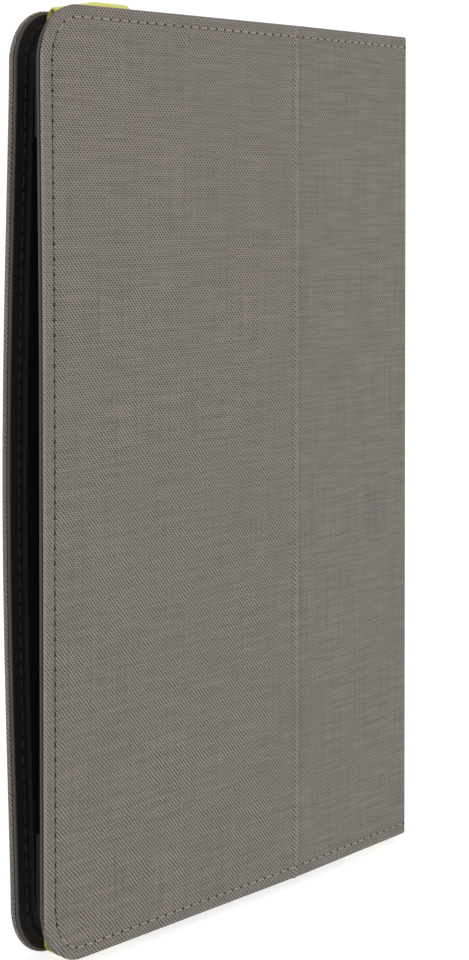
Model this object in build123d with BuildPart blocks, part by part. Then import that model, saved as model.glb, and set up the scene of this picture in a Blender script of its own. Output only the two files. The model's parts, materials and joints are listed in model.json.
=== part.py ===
from build123d import *
import os
from math import cos, sin, tan, atan2, radians, pi

os.makedirs("parts", exist_ok=True)

# ---------------------------------------------------------------------------
# Folio keyboard case for a 9 to 10 inch tablet, standing on its short edge.
# Frame: +Z up along the spine, +Y from the front cover to the back cover,
# +X from the free edge to the spine. The origin is the middle of the
# footprint, on the surface the case stands on. Millimetres.
# ---------------------------------------------------------------------------

# covers
outer_w = 123.0          # front cover, free edge to crease
inner_w = 65.4           # front cover, crease to spine
back_w = 188.4           # back cover, spine to free edge
front_z, front_h = 2.6, 264.8
back_z, back_h = 0.0, 266.4
corner_r = 13.5          # rounded free corners, front cover
back_corner_r = 15.0     # rounded free corners, back cover
crease_angle = 2.1       # slight outward set at the crease
case_t = 20.0            # over both covers at the free edge
skew = 8.0               # front cover overhangs the back cover's free edge

# sandwich of each cover, from outside: woven cover cloth, board, lining
fabric_t, board_t, lining_t = 0.7, 1.4, 0.7
cover_t = fabric_t + board_t + lining_t
hem = 1.2                # cloth turned round the board's edge
hinge_gap = 0.15         # half of the gap at each fold

# tablet holder
plate_t = 1.8
plate_x0, plate_x1 = 13.5, 187.0
plate_z0, plate_z1 = 5.5, 260.9
plate_r = 10.0
loop_w, loop_t = 26.0, 1.0
grip_wall, grip_lip, grip_cover = 2.0, 1.0, 4.0
grip_len = 28.0
grip_z = 9.6

# keyboard, in its own plane: x to the right, y away from the user, z up
kb_w, kb_d, kb_t = 236.0, 112.0, 4.8
kb_foot, kb_floor, kb_wall = 0.3, 0.7, 1.0
kb_shell_h = 3.4
frame_t = 0.6
kb_r = 5.0
unit, row = 16.0, 16.0
key_gap, key_play = 2.0, 0.35
key_t, key_travel = 1.6, 0.8
fn_row = 10.5

# ---------------------------------------------------------------------------
# plan of the folio, walked from the free edge of the front cover to the free
# edge of the back cover; every fold axis lies on the outer face
# ---------------------------------------------------------------------------
x_free, y_front = -98.2, -10.0
a2 = radians(crease_angle)
free = (x_free, y_front)
crease = (x_free + outer_w, y_front)
front_fold = (crease[0] + inner_w * cos(a2), crease[1] + inner_w * sin(a2))
back_fold = (x_free + skew + back_w, y_front + case_t)
spine_w = ((back_fold[0] - front_fold[0]) ** 2 + (back_fold[1] - front_fold[1]) ** 2) ** 0.5
a3 = atan2(back_fold[1] - front_fold[1], back_fold[0] - front_fold[0])
dir_outer, dir_inner = (1.0, 0.0), (cos(a2), sin(a2))
dir_spine, dir_back = (cos(a3), sin(a3)), (-1.0, 0.0)
# mitre of a panel's end: how much shorter it gets per mm of depth
mitre_crease = tan(a2 / 2)
mitre_front = tan((a3 - a2) / 2)
mitre_back = tan((pi - a3) / 2)


def plan(origin, way, s0, s1, d0, d1, m0=0.0, m1=0.0):
    """Corners of a strip of a panel, from s0 to s1 along it and d0 to d1 deep."""
    def at(s, d):
        return (origin[0] + s * way[0] - d * way[1], origin[1] + s * way[1] + d * way[0])
    return [at(s0 + d0 * m0, d0), at(s1 - d0 * m1, d0), at(s1 - d1 * m1, d1), at(s0 + d1 * m0, d1)]


d_board = fabric_t + board_t

# ---- front cover, outer panel ---------------------------------------------
# magnets that hold the keyboard: two discs and two bars, in plan (x, z)
kb_x = x_free + 6.0 + kb_d / 2
kb_z = front_z + front_h / 2
disc_spots = [(kb_x + 48.5, kb_z - 60.0), (kb_x + 48.5, kb_z + 60.0)]
bar_spots = [(kb_x - 53.0, kb_z - 60.0), (kb_x - 53.0, kb_z + 60.0)]
disc_r, bar_w, bar_l, magnet_t = 4.0, 3.0, 20.0, 1.2

with BuildPart() as cover_magnets:
    with BuildSketch(Plane((0, y_front + fabric_t + 0.1, 0), x_dir=(1, 0, 0), z_dir=(0, -1, 0))):
        with Locations(*disc_spots):
            Circle(disc_r)
        with Locations(*bar_spots):
            Rectangle(bar_w, bar_l)
    extrude(amount=-magnet_t)
cover_magnets.part.label = "cover_magnets"
export_step(cover_magnets.part, "parts/cover_magnets.step")

with BuildPart() as front_panel_blank:
    with BuildSketch(Plane.XY.offset(front_z + hem)):
        with BuildLine():
            Polyline(*plan(free, dir_outer, hem, outer_w - 2.0, fabric_t, d_board), close=True)
        make_face()
    extrude(amount=front_h - 2 * hem)
    fillet(front_panel_blank.edges().filter_by(Axis.Y).group_by(Axis.X)[0], corner_r - hem)

with BuildPart() as front_panel_board:
    add(front_panel_blank.part)
    with BuildSketch(Plane((0, y_front, 0), x_dir=(1, 0, 0), z_dir=(0, -1, 0))):
        with Locations(*disc_spots):
            Circle(disc_r + 0.05)
        with Locations(*bar_spots):
            Rectangle(bar_w + 0.1, bar_l + 0.1)
    extrude(amount=-5, mode=Mode.SUBTRACT)
front_panel_board.part.label = "front_panel_board"
export_step(front_panel_board.part, "parts/front_panel_board.step")

with BuildPart() as front_panel_fabric:
    with BuildSketch(Plane.XY.offset(front_z)):
        with BuildLine():
            Polyline(*plan(free, dir_outer, 0, outer_w - hinge_gap, 0, d_board, 0, mitre_crease), close=True)
        make_face()
    extrude(amount=front_h)
    fillet(front_panel_fabric.edges().filter_by(Axis.Y).group_by(Axis.X)[0], corner_r)
    add(front_panel_blank.part, mode=Mode.SUBTRACT)
front_panel_fabric.part.label = "front_panel_fabric"
export_step(front_panel_fabric.part, "parts/front_panel_fabric.step")

with BuildPart() as front_panel_lining:
    with BuildSketch(Plane.XY.offset(front_z + 1.0)):
        with BuildLine():
            Polyline(*plan(free, dir_outer, 1.0, outer_w - hinge_gap, d_board, cover_t, 0, mitre_crease), close=True)
        make_face()
    extrude(amount=front_h - 2.0)
    fillet(front_panel_lining.edges().filter_by(Axis.Y).group_by(Axis.X)[0], corner_r - 1.0)
front_panel_lining.part.label = "front_panel_lining"
export_step(front_panel_lining.part, "parts/front_panel_lining.step")

# ---- front cover, inner panel ---------------------------------------------
with BuildPart() as fold_panel_board:
    with BuildSketch(Plane.XY.offset(front_z + hem)):
        with BuildLine():
            Polyline(*plan(crease, dir_inner, 2.0, inner_w - 2.5, fabric_t, d_board, 0, mitre_front), close=True)
        make_face()
    extrude(amount=front_h - 2 * hem)
fold_panel_board.part.label = "fold_panel_board"
export_step(fold_panel_board.part, "parts/fold_panel_board.step")

with BuildPart() as fold_panel_fabric:
    with BuildSketch(Plane.XY.offset(front_z)):
        with BuildLine():
            Polyline(*plan(crease, dir_inner, hinge_gap, inner_w - hinge_gap, 0, d_board, mitre_crease, mitre_front), close=True)
        make_face()
    extrude(amount=front_h)
    add(fold_panel_board.part, mode=Mode.SUBTRACT)
fold_panel_fabric.part.label = "fold_panel_fabric"
export_step(fold_panel_fabric.part, "parts/fold_panel_fabric.step")

with BuildPart() as fold_panel_lining:
    with BuildSketch(Plane.XY.offset(front_z + 1.0)):
        with BuildLine():
            Polyline(*plan(crease, dir_inner, hinge_gap, inner_w - hinge_gap, d_board, cover_t, mitre_crease, mitre_front), close=True)
        make_face()
    extrude(amount=front_h - 2.0)
fold_panel_lining.part.label = "fold_panel_lining"
export_step(fold_panel_lining.part, "parts/fold_panel_lining.step")

# ---- spine ------------------------------------------------------------------
with BuildPart() as spine_board:
    with BuildSketch(Plane.XY.offset(back_z + hem)):
        with BuildLine():
            Polyline(*plan(front_fold, dir_spine, 2.5, spine_w - 2.5, fabric_t, d_board, mitre_front, mitre_back), close=True)
        make_face()
    extrude(amount=back_h - 2 * hem)
spine_board.part.label = "spine_board"
export_step(spine_board.part, "parts/spine_board.step")

with BuildPart() as spine_fabric:
    with BuildSketch(Plane.XY.offset(back_z)):
        with BuildLine():
            Polyline(*plan(front_fold, dir_spine, hinge_gap, spine_w - hinge_gap, 0, d_board, mitre_front, mitre_back), close=True)
        make_face()
    extrude(amount=back_h)
    add(spine_board.part, mode=Mode.SUBTRACT)
spine_fabric.part.label = "spine_fabric"
export_step(spine_fabric.part, "parts/spine_fabric.step")

with BuildPart() as spine_lining:
    with BuildSketch(Plane.XY.offset(back_z + 1.0)):
        with BuildLine():
            Polyline(*plan(front_fold, dir_spine, hinge_gap, spine_w - hinge_gap, d_board, cover_t, mitre_front, mitre_back), close=True)
        make_face()
    extrude(amount=back_h - 2.0)
spine_lining.part.label = "spine_lining"
export_step(spine_lining.part, "parts/spine_lining.step")

# ---- back cover -------------------------------------------------------------
with BuildPart() as back_cover_board:
    with BuildSketch(Plane.XY.offset(back_z + hem)):
        with BuildLine():
            Polyline(*plan(back_fold, dir_back, 2.5, back_w - hem, fabric_t, d_board, mitre_back, 0), close=True)
        make_face()
    extrude(amount=back_h - 2 * hem)
    fillet(back_cover_board.edges().filter_by(Axis.Y).group_by(Axis.X)[0], back_corner_r - hem)
back_cover_board.part.label = "back_cover_board"
export_step(back_cover_board.part, "parts/back_cover_board.step")

with BuildPart() as back_cover_fabric:
    with BuildSketch(Plane.XY.offset(back_z)):
        with BuildLine():
            Polyline(*plan(back_fold, dir_back, hinge_gap, back_w, 0, d_board, mitre_back, 0), close=True)
        make_face()
    extrude(amount=back_h)
    fillet(back_cover_fabric.edges().filter_by(Axis.Y).group_by(Axis.X)[0], back_corner_r)
    add(back_cover_board.part, mode=Mode.SUBTRACT)
back_cover_fabric.part.label = "back_cover_fabric"
export_step(back_cover_fabric.part, "parts/back_cover_fabric.step")

with BuildPart() as back_cover_lining:
    with BuildSketch(Plane.XY.offset(back_z + 1.0)):
        with BuildLine():
            Polyline(*plan(back_fold, dir_back, hinge_gap, back_w - 1.0, d_board, cover_t, mitre_back, 0), close=True)
        make_face()
    extrude(amount=back_h - 2.0)
    fillet(back_cover_lining.edges().filter_by(Axis.Y).group_by(Axis.X)[0], back_corner_r - 1.0)
back_cover_lining.part.label = "back_cover_lining"
export_step(back_cover_lining.part, "parts/back_cover_lining.step")

# ---- tablet holder: plate, four corner grips, four elastic loops ------------
y_lining = y_front + case_t - cover_t          # inner face of the back cover
y_plate = y_lining - plate_t                   # face the tablet lies on
mid_z = (plate_z0 + plate_z1) / 2
mid_x = x_free + (plate_x0 + plate_x1) / 2
loop_x = x_free + 17.0                         # near edge of the free-side loops
loop_dx = 2 * (mid_x - loop_x) - loop_w        # step to the spine-side loops

with BuildPart() as holder_plate:
    with BuildSketch(Plane((mid_x, y_lining, mid_z), x_dir=(1, 0, 0), z_dir=(0, -1, 0))):
        RectangleRounded(plate_x1 - plate_x0, plate_z1 - plate_z0, plate_r)
    extrude(amount=plate_t)
    # shallow seats in the back for the elastic, open at the short edges
    seat = 24.0
    with BuildSketch(Plane((mid_x, y_lining, mid_z), x_dir=(1, 0, 0), z_dir=(0, -1, 0))):
        with GridLocations(loop_dx, plate_z1 - plate_z0 - seat, 2, 2):
            Rectangle(loop_w + 0.6, seat + 0.02)
    extrude(amount=loop_t, mode=Mode.SUBTRACT)
    chamfer(holder_plate.faces().filter_by(Axis.Y).sort_by(Axis.Y)[0].outer_wire().edges(), 0.4)
holder_plate.part.label = "holder_plate"
export_step(holder_plate.part, "parts/holder_plate.step")

grip_travel = 5.0
for name, flip_x, flip_z in (
    ("corner_grip_free_bottom", 1, 1), ("corner_grip_free_top", 1, -1),
    ("corner_grip_spine_bottom", -1, 1), ("corner_grip_spine_top", -1, -1),
):
    gx = mid_x - flip_x * (mid_x - (x_free + plate_x0 + 1.0))
    gz = mid_z - flip_z * (mid_z - grip_z)
    tall = grip_len - 2.0
    with BuildPart() as grip:
        # the hooded lip over the tablet's face
        with BuildSketch(Plane((gx, y_plate - 6.5, gz), x_dir=(1, 0, 0), z_dir=(0, -1, 0))):
            with BuildLine():
                Polyline(
                    (0, 0), (flip_x * grip_len, 0), (flip_x * grip_len, flip_z * (grip_wall + grip_cover)),
                    (flip_x * (grip_wall + grip_cover + 5), flip_z * (grip_wall + grip_cover)),
                    (flip_x * (grip_wall + grip_cover), flip_z * (grip_wall + grip_cover + 5)),
                    (flip_x * (grip_wall + grip_cover), flip_z * tall), (0, flip_z * tall), close=True)
            make_face()
        extrude(amount=grip_lip)
        # the two walls along the tablet's edges
        with BuildSketch(Plane((gx, y_plate - 6.5, gz), x_dir=(1, 0, 0), z_dir=(0, -1, 0))):
            with BuildLine():
                Polyline(
                    (0, 0), (flip_x * grip_len, 0), (flip_x * grip_len, flip_z * grip_wall),
                    (flip_x * grip_wall, flip_z * grip_wall), (flip_x * grip_wall, flip_z * tall),
                    (0, flip_z * tall), close=True)
            make_face()
        extrude(amount=-6.4)
        corner = grip.edges().filter_by(Axis.Y).filter_by(
            lambda e: abs(e.center().X - gx) < 0.01 and abs(e.center().Z - gz) < 0.01)
        fillet(corner, 4.0)
    grip.part.label = name
    export_step(grip.part, "parts/" + name + ".step")

for name, side, end in (
    ("elastic_loop_free_bottom", 0, 0), ("elastic_loop_free_top", 0, 1),
    ("elastic_loop_spine_bottom", 1, 0), ("elastic_loop_spine_top", 1, 1),
):
    h = loop_t / 2
    y_back = y_lining - h                       # leg behind the plate
    y_tail = y_plate - 6.5 - grip_lip - 0.25 - h  # tail over the grip
    y_bulge = y_front + (4.4 if side == 0 else 6.1) + h
    if end == 0:
        path = [(y_back, plate_z0 + 16.0), (y_back, h), (y_bulge, h), (y_bulge, 5.0),
                (y_tail, 9.5), (y_tail, 13.4)]
    else:
        top = front_z + front_h + 2.1 - h
        path = [(y_back, plate_z1 - 16.0), (y_back, top), (y_bulge, top), (y_bulge, top - 6.0),
                (y_tail, top - 12.0), (y_tail, plate_z1 - 6.6)]
    with BuildPart() as loop:
        with BuildSketch(Plane.YZ.offset(loop_x + side * loop_dx)):
            with BuildLine():
                FilletPolyline(*path, radius=(2.4, 2.4, 1.5, 1.5))
            trace(line_width=loop_t)
        extrude(amount=loop_w)
    loop.part.label = name
    export_step(loop.part, "parts/" + name + ".step")

# ---- keyboard ---------------------------------------------------------------
def kb(height):
    """Plane of the keyboard at a height above the front cover's lining."""
    return Plane((kb_x, y_front + cover_t + height, kb_z), x_dir=(0, 0, 1), z_dir=(0, 1, 0))


# key rows, from the user's side: (name, units wide) from left to right
rows = [
    [("modifier", 1.25), ("modifier", 1), ("modifier", 1), ("modifier", 1.25), ("space", 5),
     ("modifier", 1), ("modifier", 1), ("left", 1), ("down", 1), ("right", 1)],
    [("left_shift", 2.25)] + [("lower", 1)] * 10 + [("right_shift", 1.25), ("up", 1)],
    [("caps", 1.75)] + [("middle", 1)] * 11 + [("enter", 1.75)],
    [("tab", 1.5)] + [("upper", 1)] * 13,
    [("number", 1)] * 13 + [("backspace", 1.5)],
    [("function", 14.5 / 14)] * 14,
]
node_of = {
    "modifier": "modifier_keys", "space": "space_bar", "left": "left_arrow_key", "down": "down_arrow_key",
    "right": "right_arrow_key", "up": "up_arrow_key", "left_shift": "left_shift_key",
    "right_shift": "right_shift_key", "lower": "lower_letter_keys", "middle": "middle_letter_keys",
    "upper": "upper_letter_keys", "caps": "caps_lock_key", "enter": "enter_key", "tab": "tab_key",
    "number": "number_keys", "backspace": "backspace_key", "function": "function_keys",
}
keys = []                # (name, x, y, width, depth)
y_row = -kb_d / 2 + 4.5
for n, names in enumerate(rows):
    deep = fn_row if n == 5 else row
    x_key = -14.5 * unit / 2
    for key_name, units in names:
        keys.append((key_name, x_key + units * unit / 2, y_row + deep / 2, units * unit - key_gap, deep - key_gap))
        x_key += units * unit
    y_row += deep
y_bar = y_row + 0.8      # the bar behind the keys starts here

screw_spots = [(-112, -53.3), (0, -53.3), (112, -53.3), (-104, y_bar + 3.0), (0, y_bar + 3.0), (104, y_bar + 3.0)]
kb_discs = [(z - kb_z, x - kb_x) for x, z in disc_spots]
kb_bars = [(z - kb_z, x - kb_x) for x, z in bar_spots]
usb_y = kb_d / 2 - 6.6
in_w, in_d = kb_w - 2 * kb_wall, kb_d - 2 * kb_wall

with BuildPart() as keyboard_feet:
    with BuildSketch(kb(0)):
        with GridLocations(196, 74, 2, 2):
            Circle(4.0)
    extrude(amount=kb_foot)
keyboard_feet.part.label = "keyboard_feet"
export_step(keyboard_feet.part, "parts/keyboard_feet.step")

with BuildPart() as keyboard_bottom_shell:
    with BuildSketch(kb(kb_foot)):
        RectangleRounded(kb_w, kb_d, kb_r)
    extrude(amount=kb_shell_h - kb_foot)
    fillet(keyboard_bottom_shell.faces().sort_by(Axis.Y)[0].edges(), 0.5)
    with BuildSketch(kb(kb_foot + kb_floor)):
        RectangleRounded(in_w, in_d, kb_r - kb_wall)
    extrude(amount=5, mode=Mode.SUBTRACT)
    with BuildSketch(kb(0)):
        with Locations(*screw_spots):
            Circle(0.7)
    extrude(amount=2, mode=Mode.SUBTRACT)
    # charging socket in the right wall, switch slot in the left wall
    with BuildSketch(kb(kb_foot + kb_floor)):
        with Locations((kb_w / 2, usb_y)):
            Rectangle(4, 7.6)
        with Locations((-kb_w / 2, usb_y)):
            Rectangle(4, 6.2)
    extrude(amount=1.9, mode=Mode.SUBTRACT)
keyboard_bottom_shell.part.label = "keyboard_bottom_shell"
export_step(keyboard_bottom_shell.part, "parts/keyboard_bottom_shell.step")

with BuildPart() as keyboard_top_frame:
    with BuildSketch(kb(kb_shell_h)):
        RectangleRounded(kb_w, kb_d, kb_r)
    extrude(amount=frame_t)
    chamfer(keyboard_top_frame.faces().sort_by(Axis.Y)[-1].edges(), 0.3)
    with BuildSketch(kb(kb_shell_h)):
        with Locations(*screw_spots):
            Circle(1.4)
    extrude(amount=-(kb_shell_h - kb_foot - kb_floor))
    # one opening per key, and holes for the pairing button and the light
    with BuildSketch(kb(kb_shell_h - 0.2)):
        for _, kx, ky, kw, kd in keys:
            with Locations((kx, ky)):
                Rectangle(kw + 2 * key_play, kd + 2 * key_play)
        with Locations((70, y_bar + 3.6)):
            Circle(2.3)
        with Locations((84, y_bar + 3.6)):
            Circle(1.0)
    extrude(amount=2, mode=Mode.SUBTRACT)
    with BuildSketch(kb(0)):
        with Locations(*screw_spots):
            Circle(0.75)
    extrude(amount=3.2, mode=Mode.SUBTRACT)
keyboard_top_frame.part.label = "keyboard_top_frame"
export_step(keyboard_top_frame.part, "parts/keyboard_top_frame.step")

with BuildPart() as case_screws:
    with BuildSketch(kb(0.05)):
        with Locations(*screw_spots):
            Circle(1.3)
    extrude(amount=0.25)
    with BuildSketch(kb(0.1)):
        with Locations(*screw_spots):
            Circle(0.67)
    extrude(amount=2.9)
case_screws.part.label = "case_screws"
export_step(case_screws.part, "parts/case_screws.step")

# the switch stack under the keys: steel plate, membrane, rubber domes
stack_w, stack_y0, stack_y1 = in_w - 1.0, -kb_d / 2 + 4.2, y_bar - 0.6
base = kb_foot + kb_floor
with BuildPart() as key_backplate:
    with BuildSketch(kb(base)):
        with Locations((0, (stack_y0 + stack_y1) / 2)):
            Rectangle(stack_w, stack_y1 - stack_y0)
    extrude(amount=0.3)
key_backplate.part.label = "key_backplate"
export_step(key_backplate.part, "parts/key_backplate.step")

with BuildPart() as membrane_circuit:
    with BuildSketch(kb(base + 0.3)):
        with Locations((0, (stack_y0 + stack_y1) / 2)):
            Rectangle(stack_w - 0.6, stack_y1 - stack_y0 - 0.6)
    extrude(amount=0.2)
membrane_circuit.part.label = "membrane_circuit"
export_step(membrane_circuit.part, "parts/membrane_circuit.step")

with BuildPart() as dome_sheet:
    with BuildSketch(kb(base + 0.5)):
        with Locations((0, (stack_y0 + stack_y1) / 2)):
            Rectangle(stack_w - 0.6, stack_y1 - stack_y0 - 0.6)
    extrude(amount=0.2)
    with BuildSketch(kb(base + 0.7)):
        with Locations(*[(kx, ky) for _, kx, ky, _, _ in keys]):
            Rectangle(4, 4)
    extrude(amount=0.5)
dome_sheet.part.label = "dome_sheet"
export_step(dome_sheet.part, "parts/dome_sheet.step")

with BuildPart() as main_circuit_board:
    with BuildSketch(kb(base)):
        with Locations((84.5, y_bar + 5.0)):
            Rectangle(33, 6.4)
    extrude(amount=0.8)
    with BuildSketch(kb(base + 0.8)):
        with Locations((78, y_bar + 5.2)):
            Rectangle(7, 5)
        with Locations((94, y_bar + 5.2)):
            Rectangle(4, 4)
    extrude(amount=0.9)
main_circuit_board.part.label = "main_circuit_board"
export_step(main_circuit_board.part, "parts/main_circuit_board.step")

with BuildPart() as battery_cell:
    with BuildSketch(kb(base)):
        with Locations((-26, y_bar + 5.2)):
            RectangleRounded(44, 8.0, 1.0)
    extrude(amount=2.1)
battery_cell.part.label = "battery_cell"
export_step(battery_cell.part, "parts/battery_cell.step")

with BuildPart() as usb_socket:
    with BuildSketch(kb(base + 0.05)):
        with Locations((kb_w / 2 - 3.0, usb_y)):
            Rectangle(5.6, 7.4)
    extrude(amount=1.8)
    with BuildSketch(kb(base + 0.35)):
        with Locations((kb_w / 2 - 2.2, usb_y)):
            Rectangle(5.0, 6.8)
    extrude(amount=1.2, mode=Mode.SUBTRACT)
usb_socket.part.label = "usb_socket"
export_step(usb_socket.part, "parts/usb_socket.step")

with BuildPart() as keyboard_magnets:
    with BuildSketch(kb(base)):
        with Locations(*kb_discs):
            Circle(disc_r - 0.2)
        with Locations(*kb_bars):
            Rectangle(bar_l, bar_w - 0.6)
    extrude(amount=magnet_t)
keyboard_magnets.part.label = "keyboard_magnets"
export_step(keyboard_magnets.part, "parts/keyboard_magnets.step")

with BuildPart() as power_switch_knob:
    with BuildSketch(kb(base + 0.25)):
        with Locations((-kb_w / 2 + 0.6, usb_y - 1.4)):
            Rectangle(2.2, 2.6)
        with Locations((-kb_w / 2 + 2.4, usb_y - 1.4)):
            Rectangle(1.4, 3.0)
    extrude(amount=1.4)
power_switch_knob.part.label = "power_switch_knob"
export_step(power_switch_knob.part, "parts/power_switch_knob.step")

with BuildPart() as pair_button:
    with BuildSketch(kb(kb_shell_h - 0.7)):
        with Locations((70, y_bar + 3.6)):
            Circle(2.0)
    extrude(amount=1.6)
pair_button.part.label = "pair_button"
export_step(pair_button.part, "parts/pair_button.step")

with BuildPart() as status_light:
    with BuildSketch(kb(kb_shell_h - 0.6)):
        with Locations((84, y_bar + 3.6)):
            Circle(0.95)
    extrude(amount=1.2)
status_light.part.label = "status_light"
export_step(status_light.part, "parts/status_light.step")

# keycaps: one node per wide or lone key, one per block of equal keys
for key_name, node in node_of.items():
    with BuildPart() as caps:
        with BuildSketch(kb(kb_t - key_t)):
            for k, kx, ky, kw, kd in keys:
                if k == key_name:
                    with Locations((kx, ky)):
                        RectangleRounded(kw, kd, 1.2)
        extrude(amount=key_t)
    caps.part.label = node
    export_step(caps.part, "parts/" + node + ".step")

print("spine width", round(spine_w, 3), "front fold", front_fold, "back fold", back_fold, "crease", crease)
print("y_bar", round(y_bar, 2), "kb_x", kb_x, "kb_z", kb_z, "mid_x", mid_x, "mid_z", mid_z)
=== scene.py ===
import bpy, json
from math import sin, cos, tan, pi, radians, sqrt, exp, hypot
from math import asin as math_asin
from mathutils import Vector, Matrix, noise


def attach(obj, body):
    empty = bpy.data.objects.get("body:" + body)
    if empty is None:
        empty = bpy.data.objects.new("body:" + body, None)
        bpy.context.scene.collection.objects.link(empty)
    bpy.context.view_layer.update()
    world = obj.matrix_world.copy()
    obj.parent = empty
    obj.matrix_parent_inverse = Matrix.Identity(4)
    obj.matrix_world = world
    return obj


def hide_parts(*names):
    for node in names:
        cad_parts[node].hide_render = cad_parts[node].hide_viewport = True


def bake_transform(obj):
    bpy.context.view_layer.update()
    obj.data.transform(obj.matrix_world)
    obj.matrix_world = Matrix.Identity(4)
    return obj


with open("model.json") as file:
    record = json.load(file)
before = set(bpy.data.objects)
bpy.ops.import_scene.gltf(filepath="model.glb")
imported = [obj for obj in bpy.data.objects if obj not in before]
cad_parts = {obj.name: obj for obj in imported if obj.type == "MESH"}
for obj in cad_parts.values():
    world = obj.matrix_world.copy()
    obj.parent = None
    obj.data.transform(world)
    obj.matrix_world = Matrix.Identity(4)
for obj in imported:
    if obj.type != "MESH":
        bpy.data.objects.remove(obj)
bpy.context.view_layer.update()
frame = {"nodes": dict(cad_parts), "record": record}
scene = bpy.context.scene
MM = 0.001

# ------------------------------------------------------------------ plan path
FREE, CREASE = Vector((-98.8, -10.0)), Vector((24.8, -10.0))
A2 = radians(2.1)
FFOLD = CREASE + 66.0 * Vector((cos(A2), sin(A2)))
BFOLD = Vector((98.2, 10.0))
BFREE = Vector((-89.8, 10.0))


class Path:
    """Outer face of the cover in plan, with rounded folds, by length in mm."""
    def __init__(self, pts, radii):
        self.seg, t, start = [], 0.0, pts[0]
        for i in range(1, len(pts)):
            a = (pts[i] - pts[i - 1]).normalized()
            if i < len(pts) - 1:
                b = (pts[i + 1] - pts[i]).normalized()
                turn = a.angle(b)
                cut = radii[i - 1] * tan(turn / 2)
                stop = pts[i] - a * cut
                l = (stop - start).length
                self.seg.append(("line", t, t + l, start, a)); t += l
                n = Vector((-a.y, a.x))
                l = radii[i - 1] * turn
                self.seg.append(("arc", t, t + l, stop + n * radii[i - 1], radii[i - 1], n, a)); t += l
                start = pts[i] + b * cut
            else:
                l = (pts[i] - start).length
                self.seg.append(("line", t, t + l, start, a)); t += l
        self.length = t

    def fold(self, i):
        s = self.seg[2 * i + 1]
        return (s[1] + s[2]) / 2

    def at(self, t):
        for s in self.seg:
            if t <= s[2] or s is self.seg[-1]:
                break
        if s[0] == "line":
            a = s[4]
            return s[3] + a * (t - s[1]), Vector((-a.y, a.x))
        ang = (t - s[1]) / s[4]
        n = s[5] * cos(ang) - s[6] * sin(ang)
        return s[3] - n * s[4], n


path = Path([FREE, CREASE, FFOLD, BFOLD, BFREE], [60.0, 1.6, 2.0])
TC, TF, TB, TE = path.fold(0), path.fold(1), path.fold(2), path.length
FZ0, FZ1, BZ0, BZ1 = 2.6, 267.1, 0.0, 266.4


def smooth(a, b, x):
    k = min(1.0, max(0.0, (x - a) / (b - a)))
    return k * k * (3 - 2 * k)


def lerp(a, b, k):
    return a + (b - a) * k


def z_limits(t):
    k = smooth(TF + 1.0, TF + 12.0, t)
    return lerp(FZ0, BZ0, k), lerp(FZ1, BZ1, k)


def thick_k(t):
    """0 in a fold, where there is no board, 1 on a panel."""
    k = smooth(0.9, 2.1, abs(t - TC))
    k = min(k, smooth(1.0, 2.35, abs(t - TF)))
    return min(k, smooth(1.5, 2.45, TB - t) if t < TB else smooth(3.6, 7.4, t - TB))


def rough_k(t):
    """0 in a fold, 1 on a panel, for the unevenness of the outer face."""
    k = smooth(1.2, 3.0, abs(t - TC))
    k = min(k, smooth(3.0, 6.6, abs(t - TF)))
    return min(k, smooth(3.6, 7.4, abs(t - TB)))


def bow(t, z):
    """The back cover bows outwards between its corners."""
    k = smooth(TB + 8.0, TE - 30.0, t)
    q = min(1.0, abs(z - 131.0) / 118.0)
    return 2.75 * k * cos(pi / 2 * q) ** 1.25


tz_of = {}


def FOLD_Z(tz):
    """True on the cut edges inside the folds, which aren't hems."""
    return TF - 1.0 < tz[0] < TB + 1.0 and 3.0 < tz[1] < 263.0


def place(t, z, d):
    """The point at length t, height z and depth d under the outer face."""
    p, n = path.at(t)
    d -= bow(t, z)
    # the free edge of the front isn't quite straight
    x = 0.85 * (1 - smooth(0.0, 50.0, t)) * (1 - smooth(165.0, 262.0, z))
    return Vector((p.x + n.x * d + x, p.y + n.y * d, z)), n


class Outline:
    def __init__(self, inset_free, inset_end, r_free, r_end):
        self.f, self.e, self.rf, self.re = inset_free, inset_end, r_free, r_end
        self.t0, self.t1 = inset_free, TE - inset_free

    def zz(self, t):
        a, b = z_limits(t)
        return a + self.e, b - self.e

    def cut(self, t):
        c = 0.0
        for d, r in ((t - self.t0, self.rf), (self.t1 - t, self.re)):
            if d < r:
                q = r - max(d, 0.0)
                c = max(c, r - sqrt(max(r * r - q * q, 0.0)))
        return c

    def w(self, t, z):
        z0, z1 = self.zz(t)
        dz = min(z - z0, z1 - z)
        best = dz
        for d, r in ((t - self.t0, self.rf), (self.t1 - t, self.re)):
            if d < r and dz < r:
                best = min(best, r - hypot(r - d, r - dz))
            else:
                best = min(best, d)
        return max(best, 0.0)


def quarter(w, e):
    """How far a rounded edge of radius e drops at distance w from the outline."""
    if w >= e:
        return 0.0
    q = 1 - w / e
    return e * (1 - sqrt(max(1 - q * q, 0.0)))


EDGE = [0, .03, .1, .22, .38, .58, .82, 1.1, 1.45, 1.9, 2.35, 2.7, 2.95, 3.2, 3.45, 3.7, 3.95, 4.25, 4.5, 4.75, 5.1, 5.6, 6.6, 8.2, 10.2, 12.4]


def spread(a, b, step):
    n = max(1, round((b - a) / step))
    return [a + (b - a) * i / n for i in range(n + 1)]


def columns(o, ta, tb):
    cols = []
    if ta < o.t0 + 1:
        cols += [o.t0 + e for e in EDGE]
        ta = o.t0 + 14.5
    tail = []
    if tb > o.t1 - 1:
        tail = [o.t1 - e for e in reversed(EDGE)]
        tb = o.t1 - 14.5
    zones = sorted((t, h, s) for t, h, s in ((TC, 6.0, .4), (TF, 9.0, .45), (TB, 9.0, .45)) if ta < t < tb)
    at = ta
    for t, h, s in zones:
        lo, hi = max(at, t - h), min(tb, t + h)
        cols += spread(at, lo, 5.0) if lo > at else [at]
        cols += spread(lo, hi, s)
        at = hi
    cols += spread(at, tb, 5.0)
    cols += tail
    out = []
    for c in sorted(cols):
        if not out or c - out[-1] > 1e-4:
            out.append(c)
    return out


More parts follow.
